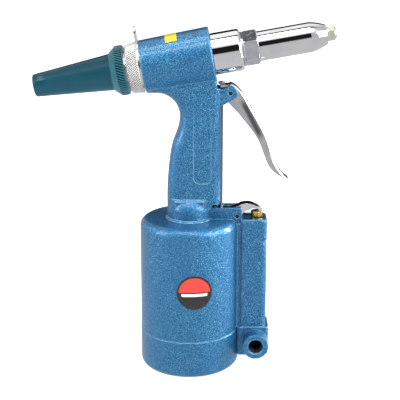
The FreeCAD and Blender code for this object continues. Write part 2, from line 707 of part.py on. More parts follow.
def end_cap():
    """Knurled rear cap: screws into the head, guides the tail tube and carries the collector's thread."""
    front, rear = end_cap_front(), end_cap_rear()
    thread_end = HEAD_REAR + CAP_THREAD_LENGTH
    spigot_end = rear - SPIGOT_REAR_LENGTH
    guide_r = TAIL_R + RUN_GAP
    guide_start, guide_end = SPRING_REAR - 0.1, -48.0
    edge = 0.7
    cap = turned_x(outline(
        (spigot_end, 11), (spigot_end, SPIGOT_REAR_R - 0.5), (spigot_end + 0.5, SPIGOT_REAR_R),
        (rear, SPIGOT_REAR_R), (rear, END_CAP_REAR_R - edge), (rear + edge, END_CAP_REAR_R),
        (front - edge, END_CAP_FRONT_R), (front, END_CAP_FRONT_R - edge), (front, CAP_THREAD_REAR_R),
        (thread_end, CAP_THREAD_REAR_R), (thread_end, 12.4), (guide_start, 12.4), (guide_start, guide_r),
        (guide_end, guide_r), (guide_end, 11)))
    groove = ring_x(TAIL_SEAL_START, TAIL_SEAL_START + SEAL_W, TAIL_R - 1, guide_r + SEAL_DEPTH)
    return on_barrel(cap.cut(groove))


def tail_seal():
    return on_barrel(seal_ring_x(TAIL_SEAL_START, TAIL_R + RUN_GAP))


def seal_ring_x(start, r_in):
    """Small seal that fills its groove all but for a slight gap, round a shaft along X."""
    return ring_x(start + SEAL_SLACK, start + SEAL_W - SEAL_SLACK, r_in, r_in + SEAL_DEPTH - SEAL_SLACK)


def hanger():
    """Flat steel ring clamped under the rear cap, with an upright holed tab."""
    start, end = end_cap_front(), HEAD_REAR
    tab_r, hole_z = HANGER_TAB_R, HANGER_HOLE_Z
    washer = bar_x(20.6, start, end)
    tab = block((start, end), (-tab_r, tab_r), (0, hole_z))
    tip = bar(tab_r, (start, 0, hole_z), (end, 0, hole_z))
    solid = washer.fuse([tab, tip]).removeSplitter()
    hole = bar(HANGER_HOLE_R, (start - 1, 0, hole_z), (end + 1, 0, hole_z))
    return on_barrel(solid.cut([hole, bar_x(CAP_THREAD_REAR_R + JOIN_GAP, start - 1, end + 1)]))


def collector():
    """Moulded cup for spent stems: a ribbed screw rim, a chamfered shoulder and a long open-ended cone."""
    wall = 2.0
    lip = 0.8
    inner = SPIGOT_REAR_R + RUN_GAP
    pocket_end = end_cap_rear() - SPIGOT_REAR_LENGTH - RING_THICK - 0.1
    return on_barrel(turned_x(outline(
        (RIM_START, inner), (RIM_START, RIM_R - 0.6), (RIM_START - 0.6, RIM_R), (RIM_END + 0.6, RIM_R),
        (RIM_END, RIM_R - 0.6), (CONE_START + 1.2, CONE_START_R + 1.4), (CONE_START, CONE_START_R),
        (COLLECTOR_END + lip, COLLECTOR_END_R + 0.15), ((COLLECTOR_END + 0.2, COLLECTOR_END_R - 0.3),
                                                         (COLLECTOR_END, COLLECTOR_END_R - lip)),
        (COLLECTOR_END, COLLECTOR_END_R - wall), (CONE_START, CONE_START_R - wall), (pocket_end, 12.5),
        (pocket_end, inner))))


def collector_o_ring():
    """Rubber ring seated inside the rim, against the face of the cap's spigot."""
    face = end_cap_rear() - SPIGOT_REAR_LENGTH - RUN_GAP
    return on_barrel(ring_x(face - RING_THICK, face, 12.6, SPIGOT_REAR_R - 0.3))


# ---------------------------------------------------------------- nose
def head_sleeve():
    """Bright sleeve screwed into the head, with a rounded front shoulder."""
    shoulder = 2.6
    corner = shoulder * (1 - math.sqrt(0.5))
    end = SLEEVE_END
    back = HEAD_FRONT + 0.1
    bore_r = CASE_R + 0.9
    return on_barrel(turned_x(outline(
        (FRONT_GLAND_END, bore_r), (FRONT_GLAND_END, NOSE_THREAD_R), (back, NOSE_THREAD_R),
        (back, SLEEVE_R - 0.4), (back + 0.4, SLEEVE_R), (end - shoulder, SLEEVE_R),
        ((end - corner, SLEEVE_R - corner), (end, SLEEVE_R - shoulder)), (end, FRAME_THREAD_R),
        (FRAME_START, FRAME_THREAD_R), (FRAME_START, bore_r))))


def frame_head():
    """Hexagon and nose barrel in one piece, drawn in to a rounded tip."""
    thread_r = FRAME_THREAD_R - JOIN_GAP
    face = SLEEVE_END + 0.1
    flange_r = 14.6
    inner = CASE_R + 0.5
    flange = turned_x(outline(
        (FRAME_START + 0.1, inner), (FRAME_START + 0.1, thread_r), (face, thread_r), (face, flange_r - 0.4),
        (face + 0.5, flange_r), (HEX_START - 0.3, flange_r), (HEX_START, flange_r - 1), (HEX_START, inner)))
    nut = hexagon_x(HEX_FLATS, HEX_START - 0.1, HEX_END)
    corner_r = HEX_FLATS / math.sqrt(3)
    trim = turned_x(outline(
        (HEX_START - 1, 0), (HEX_START - 1, corner_r - 1.4), (HEX_START + 1.6, corner_r + 0.2),
        (HEX_END - 1.6, corner_r + 0.2), (HEX_END, corner_r - 1.6), (HEX_END, 0)))
    barrel = turned_x(outline(
        (HEX_START, 0), (HEX_START, BARREL_R), (BARREL_END, BARREL_R),
        ((BARREL_END + 7.6, BARREL_R - 1.9), (NOSE_START, NOSE_R)), (NOSE_START, 0)))
    tip_r = TIP_SHANK_R + JOIN_GAP
    hollow = turned_x(outline(
        (FRAME_START, 0), (FRAME_START, CASE_R + 0.4), (CASE_END + 0.7, CASE_R + 0.4),
        (CASE_END + 2.4, tip_r), (NOSE_START + 1, tip_r), (NOSE_START + 1, 0)))
    return on_barrel(barrel.fuse([nut.common(trim), flange]).removeSplitter().cut(hollow))


def nosepiece():
    """Screw-in tip with a small hexagon. Its tapered rear end holds the jaws open at rest."""
    cone_length = 2.1
    face_length = 1.4
    cone_start = JAW_END + 0.1
    shank = bar_x(TIP_SHANK_R, cone_start + cone_length, NOSE_START + 1)
    cone = Part.makeCone(3.1, TIP_SHANK_R, cone_length, Vector(cone_start, 0, 0), X_AXIS)
    collar = bar_x(5.9, NOSE_START + 0.05, NOSE_START + 1.4)
    tip = hexagon_x(10.4, NOSE_START + 1.3, NOSE_END - face_length)
    face = Part.makeCone(5.2, 4.4, face_length, Vector(NOSE_END - face_length, 0, 0), X_AXIS)
    solid = shank.fuse([cone, collar, tip, face]).removeSplitter()
    return on_barrel(solid.cut(bar_x(MANDREL_R, JAW_END - 1, NOSE_END + 1)))


def drawbar():
    """Extension between the pull rod and the jaw case."""
    start = PULL_ROD_END + 0.1
    socket_end = PULL_ROD_END + 8.2
    socket_r = PULL_ROD_THREAD_R + JOIN_GAP
    case_face = DRAWBAR_END - CASE_THREAD_LENGTH
    body = turned_x(outline(
        (start, socket_r), (start, PULL_ROD_R), (case_face, PULL_ROD_R), (case_face, PULL_ROD_THREAD_R),
        (DRAWBAR_END, PULL_ROD_THREAD_R), (DRAWBAR_END, PULL_BORE_R), (socket_end, PULL_BORE_R),
        (socket_end, socket_r)))
    return on_barrel(body)


def cone_r(along, clearance=0.0):
    """Radius of the jaw case's inner cone, which narrows towards the nose."""
    return CASE_MOUTH_R + (CASE_END - along) * math.tan(math.radians(JAW_ANGLE)) - clearance


def jaw_case():
    """Sleeve whose inner cone wedges the jaws shut."""
    cone_start = CASE_END - (CASE_BORE_R - CASE_MOUTH_R) / math.tan(math.radians(JAW_ANGLE))
    start = DRAWBAR_END - CASE_THREAD_LENGTH + 0.1
    thread_r = PULL_ROD_THREAD_R + JOIN_GAP
    step = DRAWBAR_END + 0.2
    return on_barrel(turned_x(outline(
        (start, thread_r), (start, CASE_R), (CASE_END, CASE_R), (CASE_END, CASE_MOUTH_R),
        (cone_start, CASE_BORE_R), (step, CASE_BORE_R), (step, thread_r))))


def case_lock_ring():
    """Thin nut that locks the drawbar on the pull rod."""
    start = PULL_ROD_END + 9.2
    return on_barrel(ring_x(start, start + 3, PULL_ROD_R + JOIN_GAP, CASE_R + 0.3))


def jaw(index):
    """One third of a split cone, with a toothed bore."""
    clearance = 0.3
    blank = turned_x(outline(
        (JAW_START, 2.5), (JAW_START, cone_r(JAW_START, clearance)), (JAW_END, cone_r(JAW_END, clearance)),
        (JAW_END, 3.2), (JAW_END - 0.6, 2.5)))
    teeth = [Part.makeCone(2.5, 2.9, 0.5, Vector(JAW_START + 2 + k, 0, 0), X_AXIS) for k in range(7)]
    reach = 20
    third = math.radians(60)
    side = reach * math.tan(third)
    wedge = Part.Face(Part.makePolygon([ORIGIN, Vector(0, -side, reach), Vector(0, side, reach), ORIGIN]))
    wedge.translate(Vector(JAW_START - 1, 0, JAW_SPLIT / 2 / math.sin(third)))
    sector = wedge.extrude(Vector(JAW_END - JAW_START + 2, 0, 0))
    piece = blank.cut(teeth).common(sector)
    piece.rotate(ORIGIN, X_AXIS, 120 * index)
    return on_barrel(piece)


def jaw_pusher():
    """Spring-loaded ring that keeps the jaws against the cone."""
    ring = ring_x(PUSHER_START, JAW_START - 0.1, 2.6, cone_r(JAW_START) - 0.5)
    guide = bar_x(CASE_BORE_R - RUN_GAP, PUSHER_START, JAW_START)
    return on_barrel(ring.common(guide))


def pusher_spring():
    return on_barrel(coil_x(5.9, 0.7, DRAWBAR_END + 0.1, PUSHER_START - 0.1, 6))


# ---------------------------------------------------------------- trigger linkage
def trigger_side(shift=0.0):
    """Side view of the S-curved trigger, moved down and back by shift along its front's normal."""
    front = Part.BSplineCurve()
    front.interpolate([at(*p) for p in (
        (36.0, 253.8), (41.2, 250.4), (50.4, 237.2), (59.9, 220.9), (67.4, 204.6), (72.7, 187.6),
        (78.2, 178.2), (85.6, 171.2))])
    back = Part.BSplineCurve()
    back.interpolate([at(*p) for p in (
        (85.0, 170.4), (79.0, 173.4), (70.9, 179.4), (65.3, 189.6), (59.6, 204.4), (50.6, 217.8),
        (41.4, 229.2), (33.4, 237.4))])
    bridge = [at(33.4, 237.4), at(29.6, 245.0), at(30.4, 251.0), at(36.0, 253.8)]
    lines = [Part.makeLine(a, b) for a, b in zip(bridge, bridge[1:])]
    lines.append(Part.makeLine(at(85.6, 171.2), at(85.0, 170.4)))
    wire = Part.Wire(Part.__sortEdges__(lines + [front.toShape(), back.toShape()]))
    wire.translate(Vector(-0.86 * shift, 0, -0.5 * shift))
    return wire


def trigger():
    """Pressed channel trigger: front web, two side flanges, and a forked tail over the ears."""
    x, z = TRIGGER_PIVOT
    half = TRIGGER_HALF_WIDTH
    shell = rounded(plate(trigger_side(), -half, half), 2.0, on_trigger_front)
    inside = plate(trigger_side(SHEET + 0.2), -half + SHEET, half - SHEET)
    bead_z = z + BEAD_RISE
    tail = block((ROD_X, x), (-half + 1, half - 1), (bead_z - BEAD_R, bead_z + BEAD_R))
    bead = pin_y(BEAD_R, (ROD_X, bead_z), half - 1)
    fork = block((ROD_X - 4, ROD_X + ROD_R + 0.5), (-ROD_R - 0.6, ROD_R + 0.6), (bead_z - 5, bead_z + 5))
    back_room = block((ROD_X - 6, ROD_X + 3.6), (-half - 1, half + 1), (z - 20, bead_z - BEAD_R))
    solid = shell.cut([inside, back_room]).fuse([tail, bead]).removeSplitter()
    return solid.cut([fork, pin_y(PIN_R + RUN_GAP, TRIGGER_PIVOT, 12)])


def on_trigger_front(mid, edge):
    """The web's two front edges, which are longer than the flanges' free edges."""
    return edge.Length > 90


def trigger_pin():
    return pin_y(PIN_R, TRIGGER_PIVOT, EAR_OUT_Y - 0.8)


def rod_seat_heights():
    """Undersides of the upper and lower rod nuts."""
    return TRIGGER_PIVOT[1] + BEAD_RISE + BEAD_R + 0.08, 139.9


def trigger_rod():
    upper, lower = rod_seat_heights()
    rod = bar_z(ROD_R, lower - 1.2, upper + ROD_NUT_HEIGHT + 0.5, ROD_X)
    return rounded(rod, 0.4, lambda mid, edge: is_round(edge))


def is_round(edge):
    return isinstance(edge.Curve, Part.Circle)


def rod_nuts():
    nuts = [hex_nut_z(5.0, ROD_R, z, z + ROD_NUT_HEIGHT, ROD_X) for z in rod_seat_heights()]
    return Part.makeCompound(nuts)


def lever_side():
    """Side view of the bowed valve lever with its pivot ears."""
    x, z = LEVER_PIVOT
    tip_x = VALVE_X + 5.4
    tip_z = BUTTON_TOP_Z + 0.05
    return outline(
        (22.4, 146.0), (25.0, 144.6), (35.5, 144.4), ((40.5, 145.5), (45.0, 147.6)),
        ((51.0, 148.5), (57.5, 146.6)), ((61.8, 144.2), (tip_x, tip_z)), (tip_x - 1.9, tip_z),
        (VALVE_X + 0.4, 143.9), (55.4, 144.2), (48.0, 141.0), (x + 3.4, z - 0.4),
        ((x, z - 3.4), (x - 3.4, z)), (x - 5.0, 142.0), (25.2, 142.9), (22.4, 144.4))


def valve_lever():
    """Pressed channel lever: a forked rear end on the rod, a bowed front end on the valve button."""
    half = LEVER_HALF_WIDTH
    solid = plate(lever_side(), -half, half)
    hollow_start, hollow_end = ROD_X + 3.5, 56.4
    low = LEVER_PIVOT[1] - 8
    hollow = outline(
        (hollow_start, low), (hollow_start, 142.9), (35.8, 142.8), ((40.7, 143.8), (45.6, 145.9)),
        ((51.0, 146.8), (hollow_end, 145.3)), (hollow_end, low))
    solid = solid.cut(plate(hollow, -half + SHEET, half - SHEET))
    slot_r = ROD_R + 0.4
    slot = block((ROD_X - 9.0, ROD_X + 0.4), (-slot_r, slot_r), (low, 150))
    slot_end = bar_z(slot_r, low, 150, ROD_X + 0.4)
    return solid.cut([slot, slot_end, pin_y(PIN_R + RUN_GAP, LEVER_PIVOT, 12)])


def lever_pin():
    return pin_y(PIN_R, LEVER_PIVOT, CHEEK_OUT_Y - 0.7)


# ---------------------------------------------------------------- air valve
def valve_button():
    """Brass push button with a shallow groove under its crown."""
    knob = bar_z(BUTTON_R, BUTTON_TOP_Z - BUTTON_HEIGHT, BUTTON_TOP_Z, VALVE_X)
    knob = rounded(knob, 0.6, lambda mid, edge: is_round(edge))
    groove = ring_z(BUTTON_TOP_Z - 2.1, BUTTON_TOP_Z - 1.5, BUTTON_R - 0.35, BUTTON_R + 1, VALVE_X)
    return knob.cut(groove)


def valve_stem():
    """Spool with three grooved lands."""
    land_r = SPOOL_BORE_R - RUN_GAP
    groove_r = land_r - VALVE_RING_DEPTH
    stem = bar_z(2.6, STEM_LOW_Z, BUTTON_TOP_Z - BUTTON_HEIGHT, VALVE_X)
    lands = [bar_z(land_r, z, z + 6, VALVE_X) for z in LANDS_Z]
    grooves = [ring_z(z + 2, z + 2 + SEAL_W, groove_r, land_r + 1, VALVE_X) for z in LANDS_Z]
    return stem.fuse(lands).removeSplitter().cut(grooves)


def valve_o_rings():
    outer = SPOOL_BORE_R - RUN_GAP
    inner = outer - VALVE_RING_DEPTH + SEAL_SLACK
    low, high = 2 + SEAL_SLACK, 2 + SEAL_W - SEAL_SLACK
    return Part.makeCompound([ring_z(z + low, z + high, inner, outer, VALVE_X) for z in LANDS_Z])


def valve_sleeve():
    """Ported brass liner of the valve bore."""
    sleeve = ring_z(VALVE_BORE_LOW_Z + 2, 130, SPOOL_BORE_R, VALVE_BORE_R - JOIN_GAP, VALVE_X)
    ports = []
    for z in (SUPPLY_PORT_Z, EXHAUST_PORT_Z):
        ports.append(bar(1.5, (VALVE_X - 8, 0, z), (VALVE_X + 8, 0, z)))
        ports.append(bar(1.5, (VALVE_X, -8, z), (VALVE_X, 8, z)))
    return sleeve.cut(ports)


def valve_spring():
    return upright(coil_x(3.3, 0.45, VALVE_BORE_LOW_Z + 1.9, STEM_LOW_Z - 0.1, 7), VALVE_X)


def spring_seat():
    """Thin retaining washer under the valve spring."""
    return ring_z(VALVE_BORE_LOW_Z + 0.1, VALVE_BORE_LOW_Z + 1.8, 2.0, VALVE_BORE_R - 0.2, VALVE_X)


def feed_plug():
    """Screwed plug that closes the lower end of the feed, with a hexagon socket."""
    plug = bar_z(FEED_R - JOIN_GAP, BLOCK_LOW_Z + 0.3, BLOCK_LOW_Z + 6, VALVE_X)
    return plug.cut(upright(hexagon_x(4.0, BLOCK_LOW_Z - 1, BLOCK_LOW_Z + 3), VALVE_X))


# ---------------------------------------------------------------- small parts on the outside
def bleed_screw():
    """Cheese-head screw with a driver slot, on the far side of the head."""
    x, y = BLEED_X, BLEED_FACE_Y + 1
    head_high, head_r = 3.2, 3.9
    head = bar(head_r, (x, y, 0), (x, y + head_high, 0))
    shank = bar(BLEED_R, (x, 15, 0), (x, y + 0.2, 0))
    slot = block((x - head_r - 1, x + head_r + 1), (y + head_high / 2, y + head_high + 1), (-0.5, 0.5))
    return on_barrel(head.fuse(shank).removeSplitter().cut(slot))


def bleed_washer():
    x, y = BLEED_X, BLEED_FACE_Y
    disc = bar(4.6, (x, y + 0.05, 0), (x, y + 0.95, 0))
    return on_barrel(disc.cut(bar(BLEED_R + JOIN_GAP, (x, y - 2, 0), (x, y + 3, 0))))


def badge():
    """Thin round foil badge laid on the cylinder's near side."""
    centre_x, centre_z, radius = 4.8, 80.3, 15.2
    foil = 0.2
    low, high = centre_z - radius - 1, centre_z + radius + 1
    skin = turned_z(outline(
        (cylinder_r(low) + 0.02, low), (cylinder_r(low) + foil, low), (cylinder_r(high) + foil, high),
        (cylinder_r(high) + 0.02, high)))
    disc = bar(radius, (0, -30, centre_z), (0, -50, centre_z))
    disc.rotate(ORIGIN, Z_AXIS, math.degrees(math.asin(centre_x / CYLINDER_R)))
    return skin.common(disc)


def head_label():
    """Small plain foil label wrapped over the head."""
    start, end = -16.4, -6.6
    gap, foil = 0.02, 0.22
    wire = outline((start, head_r(start) + gap), (end, head_r(end) + gap), (end, head_r(end) + foil),
                   (start, head_r(start) + foil))
    wrap = Part.Face(wire).revolve(ORIGIN, X_AXIS, 46)
    wrap.rotate(ORIGIN, X_AXIS, -8)
    return on_barrel(wrap)


# ---------------------------------------------------------------- output
NODES = {
    "body_casting": body_casting,
    "air_cylinder": air_cylinder,
    "base_cap": base_cap,
    "base_gasket": base_gasket,
    "piston_bumper": piston_bumper,
    "handle_lock_nut": handle_lock_nut,
    "inlet_filter": inlet_filter,
    "air_piston": air_piston,
    "air_piston_seal": air_piston_seal,
    "plunger": plunger,
    "piston_nut": piston_nut,
    "oil_gland": oil_gland,
    "plunger_seals": plunger_seals,
    "gland_o_ring": gland_o_ring,
    "pull_piston": pull_piston,
    "pull_piston_seal": pull_piston_seal,
    "front_gland": front_gland,
    "front_gland_o_ring": front_gland_o_ring,
    "pull_rod_seal": pull_rod_seal,
    "return_spring": return_spring,
    "end_cap": end_cap,
    "tail_seal": tail_seal,
    "hanger": hanger,
    "collector": collector,
    "collector_o_ring": collector_o_ring,
    "head_sleeve": head_sleeve,
    "frame_head": frame_head,
    "nosepiece": nosepiece,
    "drawbar": drawbar,
    "case_lock_ring": case_lock_ring,
    "jaw_case": jaw_case,
    "jaw_top": lambda: jaw(0),
    "jaw_near": lambda: jaw(1),
    "jaw_far": lambda: jaw(2),
    "jaw_pusher": jaw_pusher,
    "pusher_spring": pusher_spring,
    "trigger": trigger,
    "trigger_pin": trigger_pin,
    "trigger_rod": trigger_rod,
    "rod_nuts": rod_nuts,
    "valve_lever": valve_lever,
    "lever_pin": lever_pin,
    "valve_button": valve_button,
    "valve_stem": valve_stem,
    "valve_o_rings": valve_o_rings,
    "valve_sleeve": valve_sleeve,
    "valve_spring": valve_spring,
    "spring_seat": spring_seat,
    "feed_plug": feed_plug,
    "bleed_screw": bleed_screw,
    "bleed_washer": bleed_washer,
    "badge": badge,
    "head_label": head_label,
}

os.makedirs("parts", exist_ok=True)
for name, make in NODES.items():
    make().exportStep("parts/" + name + ".step")
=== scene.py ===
import json
import math

import bpy
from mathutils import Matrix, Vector


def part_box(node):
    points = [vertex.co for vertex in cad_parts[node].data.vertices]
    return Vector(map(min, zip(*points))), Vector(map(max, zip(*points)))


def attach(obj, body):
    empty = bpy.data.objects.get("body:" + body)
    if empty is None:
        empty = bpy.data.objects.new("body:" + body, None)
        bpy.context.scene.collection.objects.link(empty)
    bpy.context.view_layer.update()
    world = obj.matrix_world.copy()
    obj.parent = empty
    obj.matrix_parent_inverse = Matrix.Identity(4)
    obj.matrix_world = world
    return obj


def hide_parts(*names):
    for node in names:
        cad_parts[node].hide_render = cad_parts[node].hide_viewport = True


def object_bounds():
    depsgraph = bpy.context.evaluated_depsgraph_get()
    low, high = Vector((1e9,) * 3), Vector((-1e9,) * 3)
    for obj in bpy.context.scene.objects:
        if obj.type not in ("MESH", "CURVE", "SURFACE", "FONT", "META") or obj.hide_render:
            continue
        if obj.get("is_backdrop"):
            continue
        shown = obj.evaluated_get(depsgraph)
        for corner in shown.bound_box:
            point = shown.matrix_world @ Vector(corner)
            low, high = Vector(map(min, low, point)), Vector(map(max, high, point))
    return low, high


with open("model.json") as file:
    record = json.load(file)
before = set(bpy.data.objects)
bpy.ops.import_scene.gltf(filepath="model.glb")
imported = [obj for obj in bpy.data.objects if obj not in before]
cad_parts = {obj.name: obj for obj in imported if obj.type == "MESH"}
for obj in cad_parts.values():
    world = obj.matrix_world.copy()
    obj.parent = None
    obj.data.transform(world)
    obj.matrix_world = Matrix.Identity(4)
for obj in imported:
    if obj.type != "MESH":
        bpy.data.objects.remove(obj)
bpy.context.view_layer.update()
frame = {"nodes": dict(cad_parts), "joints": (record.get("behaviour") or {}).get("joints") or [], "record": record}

MM = 0.001
JOINTS = {joint["name"]: joint for joint in frame["joints"]}
NODES = frame["nodes"]

# The barrel line: a point on it, and the unit vectors to the nose, to the near side and up from the line.
BARREL_POINT = Vector(JOINTS["collector_turn"]["pos_m"])
FORWARD = -Vector(JOINTS["collector_turn"]["axis"]).normalized()
NEAR = Vector((0, -1, 0))
UPWARD = FORWARD.cross(Vector((0, 1, 0))).normalized()


# ---------------------------------------------------------------- measuring the frame
def along(point):
    """Distance of a point along the barrel line, in metres."""
    return (point - BARREL_POINT).dot(FORWARD)


def off_axis(point):
    """Distance of a point from the barrel line, in metres."""
    offset = point - BARREL_POINT
    return (offset - FORWARD * offset.dot(FORWARD)).length


def barrel_points(node):
    """(distance along, distance off) of every vertex of a CAD node."""
    return [(along(v.co), off_axis(v.co)) for v in NODES[node].data.vertices]


def on_barrel(s, radius, angle):
    """Point at a distance along the line and off it. Angles start at the top, towards the near side."""
    side = UPWARD * math.cos(angle) + NEAR * math.sin(angle)
    return BARREL_POINT + FORWARD * s + side * radius


# ---------------------------------------------------------------- node helpers
def rgba(colour):
    """Four channels from a colour or a grey level. An output socket passes through unchanged."""
    if isinstance(colour, bpy.types.NodeSocket):
        return colour
    if isinstance(colour, (int, float)):
        return (colour, colour, colour, 1.0)
    return (*colour[:3], 1.0)


class Nodes:
    """A node tree under construction, with short ways to add and link nodes."""

    def __init__(self, tree):
        self.tree = tree
        self.tree.nodes.clear()

    def add(self, kind, **settings):
        node = self.tree.nodes.new(kind)
        for key, value in settings.items():
            setattr(node, key, value)
        return node

    def link(self, output, target):
        self.tree.links.new(output, target)

    def feed(self, target, value):
        """Link an output to a socket, or set the socket to a plain value."""
        if isinstance(value, bpy.types.NodeSocket):
            self.link(value, target)
        else:
            target.default_value = value

    def math(self, operation, a, b=0.0):
        node = self.add("ShaderNodeMath", operation=operation)
        self.feed(node.inputs[0], a)
        self.feed(node.inputs[1], b)
        return node.outputs[0]

    def vector_math(self, operation, a, b):
        node = self.add("ShaderNodeVectorMath", operation=operation)
        self.feed(node.inputs[0], a)
        self.feed(node.inputs[1], b)
        return node

    def ramp(self, fac, *stops):
        """Colour ramp. Each stop is (position, colour or grey level)."""
        node = self.add("ShaderNodeValToRGB")
        self.feed(node.inputs["Fac"], fac)
        elements = node.color_ramp.elements
        while len(elements) < len(stops):
            elements.new(0.5)
        for element, (position, colour) in zip(elements, stops):
            element.position = position
            element.color = rgba(colour)
        return node.outputs["Color"]

    def mix(self, fac, a, b):
        """Colour a where fac is 0, and colour b where it is 1."""
        node = self.add("ShaderNodeMix", data_type="RGBA")
        self.feed(node.inputs[0], fac)
        self.feed(node.inputs[6], rgba(a))
        self.feed(node.inputs[7], rgba(b))
        return node.outputs[2]


class Shader(Nodes):
    """A material under construction. Patterns follow object coordinates, so their scales are per metre."""

    def __init__(self, name):
        self.material = bpy.data.materials.new(name)
        self.material.use_nodes = True
        super().__init__(self.material.node_tree)
        self.bsdf = self.add("ShaderNodeBsdfPrincipled")
        self.output = self.add("ShaderNodeOutputMaterial")
        self.link(self.bsdf.outputs["BSDF"], self.output.inputs["Surface"])
        self.place = self.add("ShaderNodeTexCoord").outputs["Object"]

    def set(self, **values):
        """Feed sockets of the surface by name, with an underscore for each space."""
        for key, value in values.items():
            self.feed(self.bsdf.inputs[key.replace("_", " ")], value)

    def stretched(self, scale):
        """Object coordinates scaled by a different amount on each axis."""
        node = self.add("ShaderNodeMapping")
        self.link(self.place, node.inputs["Vector"])
        node.inputs["Scale"].default_value = scale
        return node.outputs[0]

    def noise(self, scale, detail=3.0, place=None, distortion=0.0):
        node = self.add("ShaderNodeTexNoise")
        self.link(place or self.place, node.inputs["Vector"])
        node.inputs["Scale"].default_value = scale
        node.inputs["Detail"].default_value = detail
        node.inputs["Distortion"].default_value = distortion
        return node.outputs["Fac"]

    def cell_colours(self, scale):
        """A random colour for each cell of a cellular pattern."""
        node = self.add("ShaderNodeTexVoronoi")
        self.link(self.place, node.inputs["Vector"])
        node.inputs["Scale"].default_value = scale
        return node.outputs["Color"]

    def along_barrel(self):
        """Distance along the barrel line, in metres."""
        offset = self.vector_math("SUBTRACT", self.place, BARREL_POINT).outputs[0]
        return self.vector_math("DOT_PRODUCT", offset, FORWARD).outputs["Value"]

    def between(self, value, low, high, soft):
        """1 where value lies from low to high, with soft ends."""
        rise = self.add("ShaderNodeMapRange", interpolation_type="SMOOTHSTEP")
        fall = self.add("ShaderNodeMapRange", interpolation_type="SMOOTHSTEP")
        for node, start, end in ((rise, low - soft, low + soft), (fall, high + soft, high - soft)):
            self.feed(node.inputs["Value"], value)
            node.inputs["From Min"].default_value = start
            node.inputs["From Max"].default_value = end
        return self.math("MULTIPLY", rise.outputs[0], fall.outputs[0])

    def rounded_normal(self, radius):
        """Normal that is softened over sharp edges, for the highlight a real edge catches."""
        node = self.add("ShaderNodeBevel", samples=4)
        node.inputs["Radius"].default_value = radius
        return node.outputs[0]

    def edge_highlight_mask(self, radius):
        """0 on open surfaces, and higher near edges that are sharper than the radius."""
        flat = self.add("ShaderNodeNewGeometry").outputs["Normal"]
        same = self.vector_math("DOT_PRODUCT", self.rounded_normal(radius), flat).outputs["Value"]
        return self.math("SUBTRACT", 1.0, same)

    def bump(self, height, strength, distance, normal=None):
        node = self.add("ShaderNodeBump")
        node.inputs["Strength"].default_value = strength
        node.inputs["Distance"].default_value = distance
        self.link(height, node.inputs["Height"])
        if normal is not None:
            self.link(normal, node.inputs["Normal"])
        return node.outputs[0]


# ---------------------------------------------------------------- materials
def hammertone_paint():
    """Blue metallic-fleck enamel over a casting: light and dark flakes under a glossy coat, with a painted
    highlight along sharp edges.
    """
    flakes_per_metre = 2900.0
    flake_tilt = 0.65
    highlight_radius = 0.9 * MM
    s = Shader("blue_paint")
    flake_colour = s.cell_colours(flakes_per_metre)
    shade = s.add("ShaderNodeSeparateColor")
    s.link(flake_colour, shade.inputs[0])
    blue = s.ramp(
        shade.outputs[0],
        (0.0, (0.001, 0.046, 0.175)),
        (0.45, (0.007, 0.130, 0.325)),
        (0.75, (0.025, 0.220, 0.425)),
        (1.0, (0.170, 0.500, 0.690)),
    )
    patches = s.noise(45.0, 2.0)
    blue = s.mix(s.ramp(patches, (0.35, 0.0), (0.65, 0.30)), blue, (0.016, 0.145, 0.360))
    grime = s.noise(9.0, 4.0)
    blue = s.mix(s.ramp(grime, (0.52, 0.0), (0.80, 0.20)), blue, (0.012, 0.075, 0.180))
    # Painted highlight: edges sharper than the radius are coloured light blue, as if they caught the light.
    painted_edge_highlight = s.edge_highlight_mask(highlight_radius)
    blue = s.mix(s.ramp(painted_edge_highlight, (0.01, 0.0), (0.12, 0.75)), blue, (0.330, 0.660, 0.800))
    soft_normal = s.rounded_normal(0.5 * MM)
    flake_normal = tilted_by_colour(s, soft_normal, flake_colour, flake_tilt)
    peel = s.noise(260.0, 2.0)
    coat_normal = s.bump(peel, 0.25, 0.35 * MM, soft_normal)
    roughness = s.ramp(s.noise(30.0, 5.0), (0.3, 0.30), (0.7, 0.38))
    s.set(Base_Color=blue, Metallic=0.60, Roughness=roughness, Normal=flake_normal)
    s.set(Coat_Weight=0.60, Coat_Roughness=0.13, Coat_Normal=coat_normal)
    return s.material


def tilted_by_colour(s, normal, colour, amount):
    """The normal, leaned a different way for each colour, so that every flake glints from its own side."""
    tilt = s.vector_math("SUBTRACT", colour, (0.5, 0.5, 0.5)).outputs[0]
    scaled_tilt = s.add("ShaderNodeVectorMath", operation="SCALE")
    s.link(tilt, scaled_tilt.inputs[0])
    scaled_tilt.inputs["Scale"].default_value = amount
    tilted = s.vector_math("ADD", normal, scaled_tilt.outputs[0]).outputs[0]
    unit = s.add("ShaderNodeVectorMath", operation="NORMALIZE")
    s.link(tilted, unit.inputs[0])
    return unit.outputs[0]


def chrome():
    """Bright plating with faint polishing lines and handling smears."""
    s = Shader("chrome")
    lines = s.noise(1.0, 2.0, s.stretched((3000, 3000, 60)))
    smears = s.noise(70.0, 3.0)
    roughness = s.math("ADD", s.math("MULTIPLY", smears, 0.06), 0.03)
    colour = s.ramp(smears, (0.3, (0.80, 0.81, 0.82)), (0.7, (0.90, 0.90, 0.90)))
    normal = s.bump(lines, 0.03, 0.02 * MM, s.rounded_normal(0.25 * MM))
    s.set(Base_Color=colour, Metallic=1.0, Roughness=roughness, Normal=normal)
    return s.material


